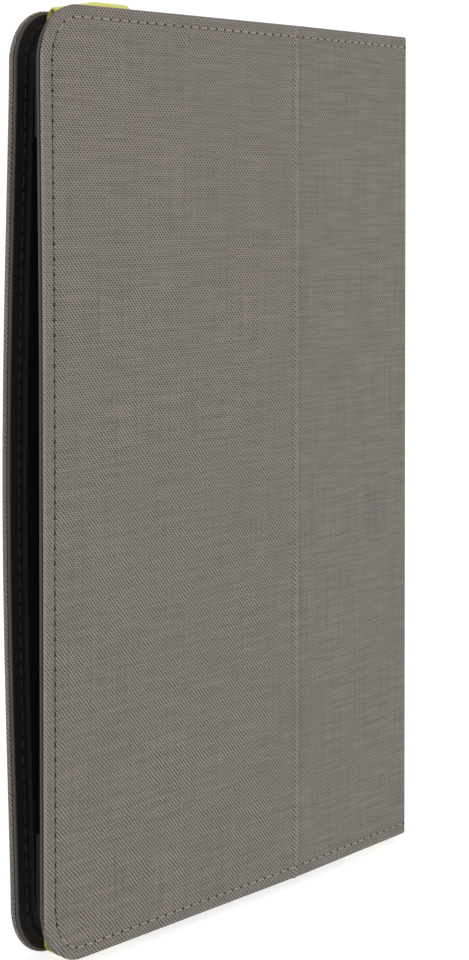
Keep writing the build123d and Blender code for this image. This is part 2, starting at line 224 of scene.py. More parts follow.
def make_object(name, verts, faces, uvs=None, smooth_faces=True, sharp_cols=()):
    me = bpy.data.meshes.new(name)
    me.from_pydata([(x * MM, y * MM, z * MM) for x, y, z in verts], [], faces)
    if uvs is not None:
        layer = me.uv_layers.new(name="UVMap")
        flat = []
        for lp in me.loops:
            flat.extend(uvs[lp.vertex_index])
        layer.data.foreach_set("uv", flat)
    me.update()
    if smooth_faces:
        me.polygons.foreach_set("use_smooth", [True] * len(me.polygons))
    if sharp_cols:
        rims = [set(c) for c in sharp_cols]
        for e in me.edges:
            a, b = e.vertices
            if any(a in r and b in r for r in rims):
                e.use_edge_sharp = True
    ob = bpy.data.objects.new(name, me)
    scene.collection.objects.link(ob)
    return ob


def cover_solid(name, o, ta, tb, outer, inner):
    """Closed sheet between two depth functions of (t, z, w), over part of the outline."""
    cols = columns(o, ta, tb)
    verts, uvs = [], []
    nrow = None
    for face, fn in enumerate((outer, inner)):
        for t in cols:
            z0, z1 = o.zz(t)
            c = o.cut(t)
            lo, hi = z0 + c, z1 - c
            zs = [lo + e for e in EDGE] + spread(lo + 14.5, hi - 14.5, 6.0) + [hi - e for e in reversed(EDGE)]
            if nrow is None:
                nrow = len(zs)
            if len(zs) != nrow:
                mid = nrow - 2 * len(EDGE)
                zs = [lo + e for e in EDGE] + [lo + 14.5 + (hi - lo - 29.0) * k / (mid - 1) for k in range(mid)] + [hi - e for e in reversed(EDGE)]
            for z in zs:
                w = o.w(t, z)
                d = fn(t, z, w)
                verts.append(tuple(place(t, z, d)[0]))
                uvs.append(wrapped_uv(o, t, z, w, d, face))
    nc = len(cols)
    m = nc * nrow
    faces = []
    for i in range(nc - 1):
        for j in range(nrow - 1):
            a = i * nrow + j
            faces.append((a, a + nrow, a + nrow + 1, a + 1))
            faces.append((m + a, m + a + 1, m + a + nrow + 1, m + a + nrow))
        a, b = i * nrow, (i + 1) * nrow
        faces.append((a, m + a, m + b, b))
        a, b = i * nrow + nrow - 1, (i + 1) * nrow + nrow - 1
        faces.append((a, b, m + b, m + a))
    for j in range(nrow - 1):
        a = j
        faces.append((a, a + 1, m + a + 1, m + a))
        a = (nc - 1) * nrow + j
        faces.append((a, m + a, m + a + 1, a + 1))
    tz_of[name] = []
    for _ in range(2):
        for t in cols:
            z0, z1 = o.zz(t)
            c = o.cut(t)
            lo, hi = z0 + c, z1 - c
            mid = nrow - 2 * len(EDGE)
            tz_of[name] += [(t, z) for z in [lo + e for e in EDGE] + [lo + 14.5 + (hi - lo - 29.0) * k / (mid - 1) for k in range(mid)] + [hi - e for e in reversed(EDGE)]]
    sharp = []
    for i, cut_end in ((0, ta > o.t0 + 1), (nc - 1, tb < o.t1 - 1)):
        if cut_end:
            rows_ = range(nrow)
            sharp.append([i * nrow + j for j in rows_] + [m + i * nrow + j for j in rows_])
    return make_object(name, verts, faces, uvs, True, sharp)


def wrapped_uv(o, t, z, w, d, face):
    """The cloth turns round the hem, so its weave carries on over the edge."""
    if w > 3.0:
        return (t, z) if not face else (t, z)
    g = 0.02
    gx, gz = o.w(t + g, z) - o.w(t - g, z), o.w(t, z + g) - o.w(t, z - g)
    l = hypot(gx, gz)
    if l < 1e-6:
        dt_, dz_ = t - o.t0, min(z - o.zz(t)[0], o.zz(t)[1] - z)
        gx, gz, l = (1, 0, 1) if dt_ < dz_ else (0, 1 if z < 133 else -1, 1)
    e = lerp(1.05, 0.5, front_edge(t))
    extra = 0.0
    if w < e:
        q = 1 - w / e
        extra = e * (math_asin(min(q, 1.0)) - q)
    if face:
        extra = 0.57 * e + max(0.0, d - e) + 1.3 * w
    return (t - gx / l * extra, z - gz / l * extra)


def rough_face(t, z):
    return 0.10 * noise.noise(Vector((t / 34.0, z / 41.0, 3.1))) + 0.035 * noise.noise(Vector((t / 9.0, z / 12.0, 7.7)))


def front_edge(t):
    return 1 - smooth(TF, TF + 10, t)


CLOTH = Outline(0.0, 0.0, 16.0, 15.2)
LINE = Outline(0.35, 0.35, 15.7, 14.9)


def cloth_out(t, z, w):
    e = lerp(1.05, 0.5, front_edge(t))
    d = quarter(w, e)
    if abs(t - TF) > 5 and abs(t - TB) > 5 and not TF < t < TB:
        z0, z1 = z_limits(t)
        side = smooth(5.0, 12.0, min(z - z0, z1 - z)) if min(t, TE - t) < 9 else 0.0
        near = 1 - smooth(0.0, 1.0, abs(w - lerp(3.45, 4.5, side)) / 0.75)
        d += lerp(0.14, 0.20, side) * near
    d += rough_face(t, z) * smooth(0.5, 6, w) * rough_k(t)
    x = t - TC + 2.4
    d += -0.42 * exp(-(x / 0.95) ** 2) + 0.26 * exp(-((x - 2.1) / 1.0) ** 2) + 0.16 * exp(-((x + 2.2) / 1.1) ** 2)
    return d


def cloth_in(t, z, w):
    k = front_edge(t)
    full = lerp(0.75, 2.1, thick_k(t))
    rim = lerp(min(full, 1.8), min(full, 0.5), k)
    d = lerp(rim, full, smooth(lerp(0.9, 1.5, k), 3.0, w))
    e = lerp(0.4, 0.2, k)
    return max(d - quarter(w, min(e, d * 0.45)), quarter(w, lerp(1.05, 0.5, k)) + 0.05)


def line_out(t, z, w):
    k = front_edge(t)
    full = lerp(0.80, 2.13, thick_k(t))
    rim = lerp(min(full, 1.86), min(full, 1.4), k)
    return lerp(rim, full, smooth(0.9, 3.0, w)) + quarter(w, 0.3)


def line_in(t, z, w):
    k = front_edge(t)
    full = lerp(1.45, 2.8, thick_k(t))
    rim = lerp(full, min(full, 2.3), k)
    near = 1 - smooth(0.0, 1.0, abs(w - 2.6) / 0.7)
    flat = 1.0 if not TF - 5 < t < TB + 5 else 0.0
    return lerp(rim, full, smooth(0.6, 2.8, w)) - quarter(w, 0.34) - 0.09 * near * flat


# ------------------------------------------------------------------ materials
def new_mat(name):
    m = bpy.data.materials.new(name)
    m.use_nodes = True
    nt = m.node_tree
    bsdf = nt.nodes["Principled BSDF"]
    return m, nt, bsdf


class N:
    """Small helper for node trees."""
    def __init__(self, nt):
        self.nt = nt

    def math(self, op, a, b=None, c=None):
        n = self.nt.nodes.new("ShaderNodeMath"); n.operation = op
        for i, v in enumerate((a, b, c)):
            if v is None:
                continue
            if isinstance(v, (int, float)):
                n.inputs[i].default_value = v
            else:
                self.nt.links.new(v, n.inputs[i])
        return n.outputs[0]

    def noise(self, vec, scale=1.0, detail=2.0, rough=0.5):
        n = self.nt.nodes.new("ShaderNodeTexNoise")
        n.inputs["Scale"].default_value = scale
        n.inputs["Detail"].default_value = detail
        n.inputs["Roughness"].default_value = rough
        self.nt.links.new(vec, n.inputs["Vector"])
        return n.outputs["Fac"]

    def comb(self, x, y, z=0.0):
        n = self.nt.nodes.new("ShaderNodeCombineXYZ")
        for i, v in enumerate((x, y, z)):
            if isinstance(v, (int, float)):
                n.inputs[i].default_value = v
            else:
                self.nt.links.new(v, n.inputs[i])
        return n.outputs[0]

    def uv(self):
        n = self.nt.nodes.new("ShaderNodeTexCoord")
        s = self.nt.nodes.new("ShaderNodeSeparateXYZ")
        self.nt.links.new(n.outputs["UV"], s.inputs[0])
        return s.outputs[0], s.outputs[1]

    def obj(self):
        n = self.nt.nodes.new("ShaderNodeTexCoord")
        return n.outputs["Object"]

    def mixc(self, fac, a, b):
        n = self.nt.nodes.new("ShaderNodeMix"); n.data_type = "RGBA"
        if isinstance(fac, (int, float)):
            n.inputs[0].default_value = fac
        else:
            self.nt.links.new(fac, n.inputs[0])
        for i, v in ((6, a), (7, b)):
            if isinstance(v, tuple):
                n.inputs[i].default_value = (*v, 1.0)
            else:
                self.nt.links.new(v, n.inputs[i])
        return n.outputs[2]

    def ramp(self, fac, stops):
        n = self.nt.nodes.new("ShaderNodeValToRGB")
        self.nt.links.new(fac, n.inputs[0])
        el = n.color_ramp.elements
        while len(el) < len(stops):
            el.new(0.5)
        for e, (p, c) in zip(el, stops):
            e.position = p
            e.color = (*c, 1.0) if isinstance(c, tuple) else (c, c, c, 1.0)
        return n.outputs[0]

    def bump(self, bsdf, h, strength, dist):
        n = self.nt.nodes.new("ShaderNodeBump")
        n.inputs["Strength"].default_value = strength
        n.inputs["Distance"].default_value = dist
        self.nt.links.new(h, n.inputs["Height"])
        self.nt.links.new(n.outputs[0], bsdf.inputs["Normal"])


def srgb(*c):
    return tuple((x / 255 / 12.92) if x / 255 <= 0.04045 else ((x / 255 + 0.055) / 1.055) ** 2.4 for x in c)


def woven(name, dark, light, tint, pitch, contrast, bump, bump_d, rough=0.9, sheen=0.25, diag=0.62, slub=1.0, row_line=0.3, crease=0.0):
    m, nt, b = new_mat(name)
    n = N(nt)
    U, V = n.uv()
    warp = n.noise(n.comb(n.math("MULTIPLY", U, 0.16), n.math("MULTIPLY", V, 0.13)), 1.0, 2.0)
    wob = n.math("MULTIPLY", n.math("SUBTRACT", warp, 0.5), 0.8)
    u = n.math("MULTIPLY", n.math("ADD", U, wob), pi / pitch)
    v = n.math("MULTIPLY", n.math("ADD", V, n.math("MULTIPLY", wob, 0.6)), pi / pitch)
    a = n.math("COSINE", n.math("ADD", u, v))
    c = n.math("COSINE", n.math("SUBTRACT", u, v))
    line = n.math("COSINE", n.math("MULTIPLY", v, 2.0))
    fleck = n.math("ADD", n.math("MULTIPLY", a, diag), n.math("MULTIPLY", c, -0.25 * diag))
    fleck = n.math("ADD", fleck, n.math("MULTIPLY", line, row_line))
    # uneven yarn: slubs along both directions, and patches where the weave shows less
    weft = n.noise(n.comb(n.math("MULTIPLY", U, 0.045), n.math("MULTIPLY", V, 1.05), 2.0), 1.0, 3.0, 0.6)
    weft = n.math("SUBTRACT", weft, 0.5)
    warp_s = n.noise(n.comb(n.math("MULTIPLY", U, 0.95), n.math("MULTIPLY", V, 0.03), 5.0), 1.0, 3.0, 0.6)
    warp_s = n.math("SUBTRACT", warp_s, 0.5)
    patch = n.noise(n.comb(n.math("MULTIPLY", U, 0.11), n.math("MULTIPLY", V, 0.085), 9.0), 1.0, 3.0, 0.55)
    amp = n.math("MULTIPLY_ADD", n.math("SUBTRACT", patch, 0.5), 2.6, 0.95)
    amp = n.math("MINIMUM", n.math("MAXIMUM", amp, 0.25), 1.6)
    grain = n.math("SUBTRACT", n.noise(n.comb(n.math("MULTIPLY", U, 2.3), n.math("MULTIPLY", V, 2.3), 1.0), 1.0, 2.0, 0.7), 0.5)
    f = n.math("MULTIPLY", n.math("MULTIPLY", fleck, amp), contrast)
    if crease:
        # the cloth is stretched smoother on the fold panel; along the crease ridge its colour is lightened, a painted
        # highlight
        past = n.math("MULTIPLY", n.math("SUBTRACT", U, crease - 4.0), 0.125)
        past = n.math("MINIMUM", n.math("MAXIMUM", past, 0.0), 1.0)
        f = n.math("MULTIPLY", f, n.math("MULTIPLY_ADD", past, -0.42, 1.0))
        # lighter band on the crease ridge: painted highlight
        x = n.math("MULTIPLY", n.math("SUBTRACT", U, crease - 2.7), 0.9)
        crease_highlight = n.math("DIVIDE", 1.0, n.math("ADD", n.math("MULTIPLY", n.math("MULTIPLY", x, x), n.math("MULTIPLY", x, x)), 1.0))
        f = n.math("ADD", f, n.math("MULTIPLY", crease_highlight, 0.13))
        hem = n.math("MULTIPLY", n.math("SUBTRACT", 4.6, U), 1.6)
        hem = n.math("MINIMUM", n.math("MAXIMUM", hem, 0.0), 1.0)
        f = n.math("MULTIPLY", f, n.math("MULTIPLY_ADD", hem, -0.22, 1.0))
        # lighter band along the rounded free edge of the hem: painted highlight
        rim = n.math("MULTIPLY", n.math("SUBTRACT", 1.0, U), 1.3)
        rim = n.math("MINIMUM", n.math("MAXIMUM", rim, 0.0), 1.0)
        f = n.math("ADD", f, n.math("MULTIPLY", rim, 0.42))
    f = n.math("ADD", f, n.math("MULTIPLY", weft, 0.75 * slub))
    f = n.math("ADD", f, n.math("MULTIPLY", warp_s, 0.55 * slub))
    f = n.math("ADD", f, n.math("MULTIPLY", grain, 0.55))
    f = n.math("ADD", f, 0.5)
    col = n.mixc(f, dark, light)
    hue = n.noise(n.comb(n.math("MULTIPLY", U, 0.03), n.math("MULTIPLY", V, 0.03), 4.0), 1.0, 2.0)
    hue = n.math("MULTIPLY", n.math("SUBTRACT", hue, 0.35), 0.8)
    col = n.mixc(n.math("MINIMUM", n.math("MAXIMUM", hue, 0.0), 0.45), col, tint)
    nt.links.new(col, b.inputs["Base Color"])
    b.inputs["Roughness"].default_value = rough
    b.inputs["Specular IOR Level"].default_value = 0.25
    b.inputs["Sheen Weight"].default_value = sheen
    b.inputs["Sheen Roughness"].default_value = 0.55
    h = n.math("ADD", n.math("MULTIPLY", fleck, 0.5), n.math("MULTIPLY", n.math("ADD", weft, warp_s), 0.8))
    n.bump(b, h, bump, bump_d)
    return m


def plastic(name, base, lighter, rough, scale, bump, spec=0.4, coat=0.0):
    m, nt, b = new_mat(name)
    n = N(nt)
    o = n.obj()
    g = n.noise(o, scale, 3.0, 0.6)
    big = n.noise(o, 60.0, 2.0)
    nt.links.new(n.mixc(big, base, lighter), b.inputs["Base Color"])
    nt.links.new(n.math("MULTIPLY_ADD", n.math("SUBTRACT", big, 0.5), 0.18, rough), b.inputs["Roughness"])
    b.inputs["Specular IOR Level"].default_value = spec
    b.inputs["Coat Weight"].default_value = coat
    n.bump(b, g, bump, 0.0002)
    return m


m_cloth = woven("cover_cloth", srgb(59, 54, 50), srgb(131, 123, 116), srgb(96, 92, 86), 0.695, 0.84, 0.35, 0.0004, 0.92, 0.12, 0.62, 1.0, 0.33, TC)
m_lining = woven("lining_cloth", srgb(12, 10, 9), srgb(24, 21, 20), srgb(17, 15, 14), 0.34, 0.35, 0.3, 0.0002, 0.9, 0.02, 0.5, 0.3)
m_elastic = None
m_grip = plastic("grip_rubber", (0.009, 0.009, 0.009), (0.015, 0.015, 0.015), 0.72, 2600.0, 0.25, 0.25)
m_plate = plastic("holder_plastic", (0.006, 0.0055, 0.005), (0.009, 0.0085, 0.008), 0.72, 1900.0, 0.3, 0.16)
m_kb = plastic("keyboard_plastic", (0.02, 0.02, 0.021), (0.03, 0.03, 0.031), 0.48, 2400.0, 0.22, 0.45)
m_key = plastic("keycap_plastic", (0.014, 0.014, 0.015), (0.021, 0.021, 0.022), 0.42, 3200.0, 0.14, 0.5)
m_board = plastic("cover_board", (0.10, 0.085, 0.07), (0.15, 0.13, 0.11), 0.9, 900.0, 0.4, 0.2)
m_pcb = plastic("circuit_board", (0.01, 0.09, 0.03), (0.02, 0.13, 0.05), 0.4, 1500.0, 0.1, 0.5)
m_dome = plastic("dome_rubber", (0.32, 0.32, 0.32), (0.4, 0.4, 0.4), 0.6, 1500.0, 0.1, 0.3)
m_film = plastic("membrane_film", (0.4, 0.42, 0.44), (0.5, 0.52, 0.54), 0.25, 400.0, 0.05, 0.5, 0.3)
m_lens = plastic("light_lens", (0.5, 0.56, 0.5), (0.62, 0.68, 0.62), 0.18, 300.0, 0.02, 0.5, 0.6)
m_thread = plastic("thread", srgb(118, 111, 105), srgb(150, 142, 135), 0.8, 5000.0, 0.5, 0.2)
# a darker copy of the thread: painted shade for the upright stitches sunk in the seam groove along the sides
m_thread_painted_shade = plastic("thread_painted_shade", srgb(64, 59, 55), srgb(86, 80, 75), 0.85, 5000.0, 0.5, 0.15)
m_hem = plastic("lining_hem", srgb(66, 61, 58), srgb(84, 78, 74), 0.85, 3000.0, 0.4, 0.15)
# needle holes are small raised domes; their dark colour is painted shade standing in for the recess of each hole
m_hole_painted_shade = plastic("needle_hole", srgb(34, 30, 27), srgb(46, 41, 37), 0.95, 3000.0, 0.2, 0.1)
m_thread_in = plastic("thread_black", (0.012, 0.012, 0.012), (0.03, 0.03, 0.03), 0.7, 5000.0, 0.5, 0.2)


def brushed(name, base, rough):
    m, nt, b = new_mat(name)
    n = N(nt)
    o = n.obj()
    s = nt.nodes.new("ShaderNodeMapping")
    s.inputs["Scale"].default_value = (4000, 4000, 60)
    nt.links.new(o, s.inputs["Vector"])
    g = n.noise(s.outputs[0], 1.0, 3.0, 0.6)
    nt.links.new(n.mixc(g, tuple(x * 0.8 for x in base), base), b.inputs["Base Color"])
    b.inputs["Metallic"].default_value = 1.0
    nt.links.new(n.math("MULTIPLY_ADD", g, 0.2, rough), b.inputs["Roughness"])
    n.bump(b, g, 0.1, 0.0001)
    return m


m_steel = brushed("plate_steel", (0.56, 0.56, 0.57), 0.3)
m_foil = brushed("battery_foil", (0.7, 0.7, 0.71), 0.35)


def elastic_mat():
    m, nt, b = new_mat("lime_elastic")
    n = N(nt)
    U, V = n.uv()
    rib = n.math("COSINE", n.math("MULTIPLY", U, 2 * pi / 1.05))
    stitch = n.math("COSINE", n.math("MULTIPLY", n.math("ADD", V, n.math("MULTIPLY", rib, 0.25)), 2 * pi / 0.8))
    g = n.noise(n.comb(n.math("MULTIPLY", U, 1.5), n.math("MULTIPLY", V, 0.4)), 1.0, 3.0)
    f = n.math("ADD", n.math("MULTIPLY", rib, 0.22), n.math("MULTIPLY", stitch, 0.16))
    f = n.math("ADD", n.math("ADD", f, 0.3), n.math("MULTIPLY", g, 0.4))
    nt.links.new(n.mixc(f, srgb(176, 178, 40), srgb(226, 224, 96)), b.inputs["Base Color"])
    b.inputs["Roughness"].default_value = 0.8
    b.inputs["Sheen Weight"].default_value = 0.4
    n.bump(b, n.math("ADD", n.math("MULTIPLY", rib, 0.7), n.math("MULTIPLY", stitch, 0.4)), 0.5, 0.0003)
    return m


m_elastic = elastic_mat()

for node, ob in frame["nodes"].items():
    slot = next(s["material_slot"] for s in frame["record"]["subparts"] if s["node"] == node)
    mat = {"cover_cloth": m_cloth, "lining_cloth": m_lining, "cover_board": m_board, "holder_plastic": m_plate,
           "grip_rubber": m_grip, "lime_elastic": m_elastic, "keyboard_plastic": m_kb, "keycap_plastic": m_key,
           "plate_steel": m_steel, "magnet_metal": m_steel, "circuit_board": m_pcb, "membrane_film": m_film,
           "dome_rubber": m_dome, "battery_foil": m_foil, "light_lens": m_lens}[slot]
    ob.data.materials.clear()
    ob.data.materials.append(mat)

T_MID1, T_MID2 = TC + 34.0, (TF + TB) / 2
PARTS = (
    ("front", 0.0, T_MID1, ("front_panel", "fold_panel"), TC, 2.6),
    ("fold", T_MID1, T_MID2, ("fold_panel", "spine"), TF, 3.2),
    ("back", T_MID2, TE, ("spine", "back_cover"), TB, 3.2),
)
REPL_CLOTH = {"front": ("front_panel_fabric", "fold_panel_fabric"), "fold": ("spine_fabric",), "back": ("back_cover_fabric",)}
REPL_LINE = {"front": ("front_panel_lining", "fold_panel_lining"), "fold": ("spine_lining",), "back": ("back_cover_lining",)}


# the board and the holder plate are glued to the back cover, so they bow with it
bowed_board = cover_solid("board_back", Outline(1.6, 1.6, 13.0, 13.5), TB + 12.0, TE, lambda t, z, w: 0.8, lambda t, z, w: 2.0)
bowed_board.data.materials.append(m_board)
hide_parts("back_cover_board")
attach(bowed_board, "back_cover")


class PlateOutline(Outline):
    def __init__(self):
        self.rf = self.re = 10.0
        self.t0, self.t1 = TE - 179.0, TE - 5.5

    def zz(self, t):
        return 5.5, 260.9


plate = cover_solid("holder_plate_skin", PlateOutline(), TE - 179.0, TE - 5.5,
                    lambda t, z, w: 2.82 + quarter(w, 0.3), lambda t, z, w: 4.6 - quarter(w, 0.6) )
plate.data.materials.append(m_plate)
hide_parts("holder_plate")
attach(plate, "back_cover")


# ------------------------------------------------------------------ covers
cloths = {}
for key, ta, tb, (a, b), tf, half in PARTS:
    cloth = cover_solid("cloth_" + key, CLOTH, ta, tb, cloth_out, cloth_in)
    cloth.data.materials.append(m_cloth)
    cloth.data.materials.append(m_lining)
    tz = tz_of[cloth.name]
    deep = [i >= len(tz) // 2 and CLOTH.w(*q) > 0.3 for i, q in enumerate(tz)]
    for f in cloth.data.polygons:
        if all(deep[v] for v in f.vertices):
            f.material_index = 1
    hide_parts(*REPL_CLOTH[key])
    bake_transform(cloth)
    lining = cover_solid("lining_" + key, LINE, ta, tb, line_out, line_in)
    lining.data.materials.append(m_lining)
    lining.data.materials.append(m_hem)
    rim = [LINE.w(u, z) < 0.62 for u, z in tz_of[lining.name]]
    for f in lining.data.polygons:
        if all(rim[v] for v in f.vertices) and any(not FOLD_Z(tz_of[lining.name][v]) for v in f.vertices):
            f.material_index = 1
    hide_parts(*REPL_LINE[key])
    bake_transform(lining)
    cloths[key] = (cloth, lining)


# ------------------------------------------------------------------ stitches
def seam(inset, side_inset, t_from, t_to, end):
    """Points (t, z) of the seam line round one cover, evenly spaced."""
    pts = []
    r = (15.4 if end == "free" else 15.0) - inset
    rt = r + inset - side_inset
    if end == "free":
        z0, z1, te, sgn = FZ0 + inset, FZ1 - inset, side_inset, 1
    else:
        z0, z1, te, sgn = BZ0 + inset, BZ1 - inset, TE - side_inset, -1
    far = t_to if end == "free" else t_from
    line = [(far, z1)]
    for i in range(25):
        q = pi / 2 * i / 24
        line.append((te + sgn * (rt - rt * sin(q)), z1 - r + r * cos(q)))
    for i in range(25):
        q = pi / 2 * (1 - i / 24)
        line.append((te + sgn * (rt - rt * sin(q)), z0 + r - r * cos(q)))
    line.append((far, z0))
    cum = [0.0]
    for p, q in zip(line, line[1:]):
        cum.append(cum[-1] + hypot(q[0] - p[0], q[1] - p[1]))
    n = round(cum[-1] / 4.15)
    for k in range(n + 1):
        s = cum[-1] * k / n
        for i in range(len(cum) - 1):
            if s <= cum[i + 1] + 1e-9:
                f = (s - cum[i]) / max(cum[i + 1] - cum[i], 1e-9)
                pts.append((lerp(line[i][0], line[i + 1][0], f), lerp(line[i][1], line[i + 1][1], f)))
                break
    return pts


def surface(t, z, depth):
    p, n = place(t, z, depth)
    return p, Vector((-n.x, -n.y, 0))


def stitch_mesh(pairs, depth_fn, out_sign, radius=0.24, lift=0.16, trim=0.45):
    verts, faces = [], []
    for (t1, z1), (t2, z2) in pairs:
        L = hypot(t2 - t1, z2 - z1)
        if L < 1e-6:
            continue
        f0 = trim / L
        prev = None
        for k in range(9):
            q = k / 8
            f = lerp(f0, 1 - f0, q)
            t, z = lerp(t1, t2, f), lerp(z1, z2, f)
            arch = sqrt(max(0.0, 1 - (2 * q - 1) ** 4))
            p, nrm = surface(t, z, depth_fn(t, z))
            nrm = nrm * out_sign
            c = p + nrm * (lerp(-0.30, lift - 0.06, arch))
            dt, dz = (t2 - t1) / L, (z2 - z1) / L
            ahead = surface(t + dt * 0.1, z + dz * 0.1, depth_fn(t, z))[0] - surface(t, z, depth_fn(t, z))[0]
            ahead.normalize()
            side = ahead.cross(nrm).normalized()
            rr = radius * lerp(0.62, 1.0, arch)
            ring = []
            for m in range(8):
                g = 2 * pi * m / 8
                ring.append(len(verts))
                verts.append(tuple(c + side * (rr * 1.1 * cos(g)) + nrm * (rr * 0.8 * sin(g))))
            if prev:
                for m in range(8):
                    faces.append((prev[m], prev[(m + 1) % 8], ring[(m + 1) % 8], ring[m]))
            else:
                faces.append(tuple(reversed(ring)))
            prev = ring
        faces.append(tuple(prev))
    return verts, faces


def hole_mesh(points, depth_fn, out_sign, r=0.5, h=0.06):
    verts, faces = [], []
    for t, z in points:
        p, nrm = surface(t, z, depth_fn(t, z))
        nrm = nrm * out_sign
        side = nrm.cross(Vector((0, 0, 1))).normalized()
        up = Vector((0, 0, 1))
        base = len(verts)
        upright = min(t, TE - t) < 5.2
        tall, h_ = (1.7, h + 0.1) if upright else (1.05, h)
        for ring_r, ring_h in ((0.86, -0.3), (1.0, 0.2), (0.75, 0.8), (0.4, 1.0)):
            for m in range(10):
                g = 2 * pi * m / 10
                verts.append(tuple(p + side * (r * ring_r * cos(g)) + up * (r * tall * ring_r * sin(g)) + nrm * (h_ * ring_h)))
        for k in range(3):
            for m in range(10):
                a = base + k * 10 + m
                b = base + k * 10 + (m + 1) % 10
                faces.append((a, b, b + 10, a + 10))
        faces.append(tuple(base + 30 + m for m in range(10)))
        faces.append(tuple(base + m for m in reversed(range(10))))
    return verts, faces


def seam_depth(t, z):
    return cloth_out(t, z, CLOTH.w(t, z))


def seam_depth_in(t, z):
    return line_in(t, z, LINE.w(t, z))


front_seam = seam(3.45, 4.5, 0, TF - 1.4, "free")
back_seam = seam(3.45, 4.5, TB + 4.5, 0, "back")
for name, pts, keep, body in (
    ("front_panel", front_seam, lambda t: t < TC - 1.6, "front_panel"),
    ("fold_panel", front_seam, lambda t: t > TC + 1.6, "fold_panel"),
    ("back_cover", back_seam, lambda t: True, "back_cover"),
):
    pairs = [(p, q) for p, q in zip(pts, pts[1:]) if keep(p[0]) and keep(q[0])]
    holes = [p for p in pts if keep(p[0])]
    upright = [(p, q) for p, q in pairs if abs(q[1] - p[1]) > 1.6 * abs(q[0] - p[0])]
    level = [(p, q) for p, q in pairs if abs(q[1] - p[1]) <= 1.6 * abs(q[0] - p[0])]
    # level stitches take the thread's own colour, upright ones the darker copy with painted shade
    for side, fn, sg, mt, which, r_, lift in (("out", seam_depth, 1, m_thread, level, 0.27, 0.2), ("side", seam_depth, 1, m_thread_painted_shade, upright, 0.24, 0.05),
                                              ("in", seam_depth_in, -1, m_thread_in, pairs, 0.24, 0.16)):
        if not which:
            continue
        v, f = stitch_mesh(which, fn, sg, r_, lift)
        ob = make_object("stitches_%s_%s" % (side, name), v, f)
        ob.data.materials.append(mt)
        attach(ob, body)
    v, f = hole_mesh(holes, seam_depth, 1)
    ob = make_object("needle_holes_" + name, v, f)
    ob.data.materials.append(m_hole_painted_shade)
    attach(ob, body)


# ------------------------------------------------------------------ elastic loops
def loop_path(end, y_bulge, far):
    """Centre line (y, z) of a band, from its end under the plate to its end on the grip."""
    if end == "bottom":
        lo = 1.0 if far else 0.75
        return [(6.7, 16.0), (6.7, 4.0), (6.3, 1.5), (4.4, lo - 0.15), (1.6, lo - 0.1), (-1.2, lo + 0.1), (y_bulge + 0.8, lo + 0.7),
                (y_bulge, lo + 2.6), (y_bulge + 0.5, lo + 5.4), (-3.2, 9.4), (-2.85, 11.2), (-2.8, 13.4)]
    top = 266.6 if far else 268.7
    return [(6.7, 250.0), (6.7, top - 5.0), (6.2, top - 2.0), (4.6, top - 0.5), (1.4, top - 0.1), (-1.4, top), (y_bulge + 0.9, top - 1.0),
            (y_bulge, top - 3.6), (y_bulge + 0.7, top - 7.0), (-3.2, 257.6), (-2.85, 256.0), (-2.8, 253.6)]


def catmull(pts, n=6):
    out = []
    for i in range(len(pts) - 1):
        p0 = Vector(pts[max(i - 1, 0)]); p1 = Vector(pts[i]); p2 = Vector(pts[i + 1]); p3 = Vector(pts[min(i + 2, len(pts) - 1)])
        for k in range(n):
            t = k / n
            out.append(0.5 * ((2 * p1) + (p2 - p0) * t + (2 * p0 - 5 * p1 + 4 * p2 - p3) * t * t + (3 * p1 - 3 * p2 + p3 - p0) * t ** 3))
    out.append(Vector(pts[-1]))
    return out


def elastic_loop(name, x0, width, end, y_bulge, node):
    far = x0 > 0
    line = catmull(loop_path(end, y_bulge, far))
    out = -1.0 if x0 < 0 else 1.0
    nx = 26
    h = 0.46
    verts, uvs, faces = [], [], []
    s = 0.0
    for i, p in enumerate(line):
        a = line[max(i - 1, 0)]; b = line[min(i + 1, len(line) - 1)]
        if i:
            s += (p - line[i - 1]).length
        tan_ = (b - a).normalized()
        nrm = Vector((tan_.y, -tan_.x))
        for side in (1, -1):
            for k in range(nx + 1):
                q = k / nx
                x = x0 + width * q
                edge = min(q, 1 - q) * width
                th = h * sqrt(max(0.0, 1 - max(0.0, 1 - edge / 0.45) ** 2)) if edge < 0.45 else h
                rib = 0.05 * cos(2 * pi * x / 2.1)
                crown = 0.25 * (1 - (2 * q - 1) ** 2)
                off = side * (th + rib * (1 if edge > 0.4 else 0)) + crown * (1 if end else 1) * 0.0
                # the outer edge curls down over the rounded corner of what the band goes round
                z = p.y + nrm.y * off
                q_out = q if x0 > 0 else 1 - q
                curl = 4.8 * max(0.0, (q_out - 0.58) / 0.42) ** 1.1 * (1 - 0.75 * smooth(1.0, 5.2, p.x))
                beyond = smooth(0.0, 4.0, z - 262.0) if end == "top" else smooth(0.0, 4.0, 5.0 - z)
                z += curl * beyond * (-1 if end == "top" else 0.45)
                verts.append((x, p.x + nrm.x * off, z))
                uvs.append((x, s))
    m = nx + 1
    for i in range(len(line) - 1):
        for k in range(nx):
            a = i * 2 * m + k
            b = a + 2 * m
            faces.append((a, a + 1, b + 1, b))
            faces.append((a + m, b + m, b + m + 1, a + m + 1))
        for k in (0, nx):
            a = i * 2 * m + k
            b = a + 2 * m
            faces.append((a, b, b + m, a + m) if k == 0 else (a, a + m, b + m, b))
    for i in (0, len(line) - 1):
        a = i * 2 * m
        for k in range(nx):
            q = (a + k, a + m + k, a + m + k + 1, a + k + 1)
            faces.append(q if i == 0 else tuple(reversed(q)))
    ob = make_object(name, verts, faces, uvs)
    ob.data.materials.append(m_elastic)
    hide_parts(node)
    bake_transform(ob)
    return ob


for sname, x_top, x_bottom, yb in (("free", -76.8, -78.6, -3.7), ("spine", 59.3, 59.3, -3.6)):
    for end, x0 in (("bottom", x_bottom), ("top", x_top)):
        elastic_loop("elastic_%s_%s" % (sname, end), x0, 26.0, end, yb,
                     "elastic_loop_%s_%s" % (sname, end))


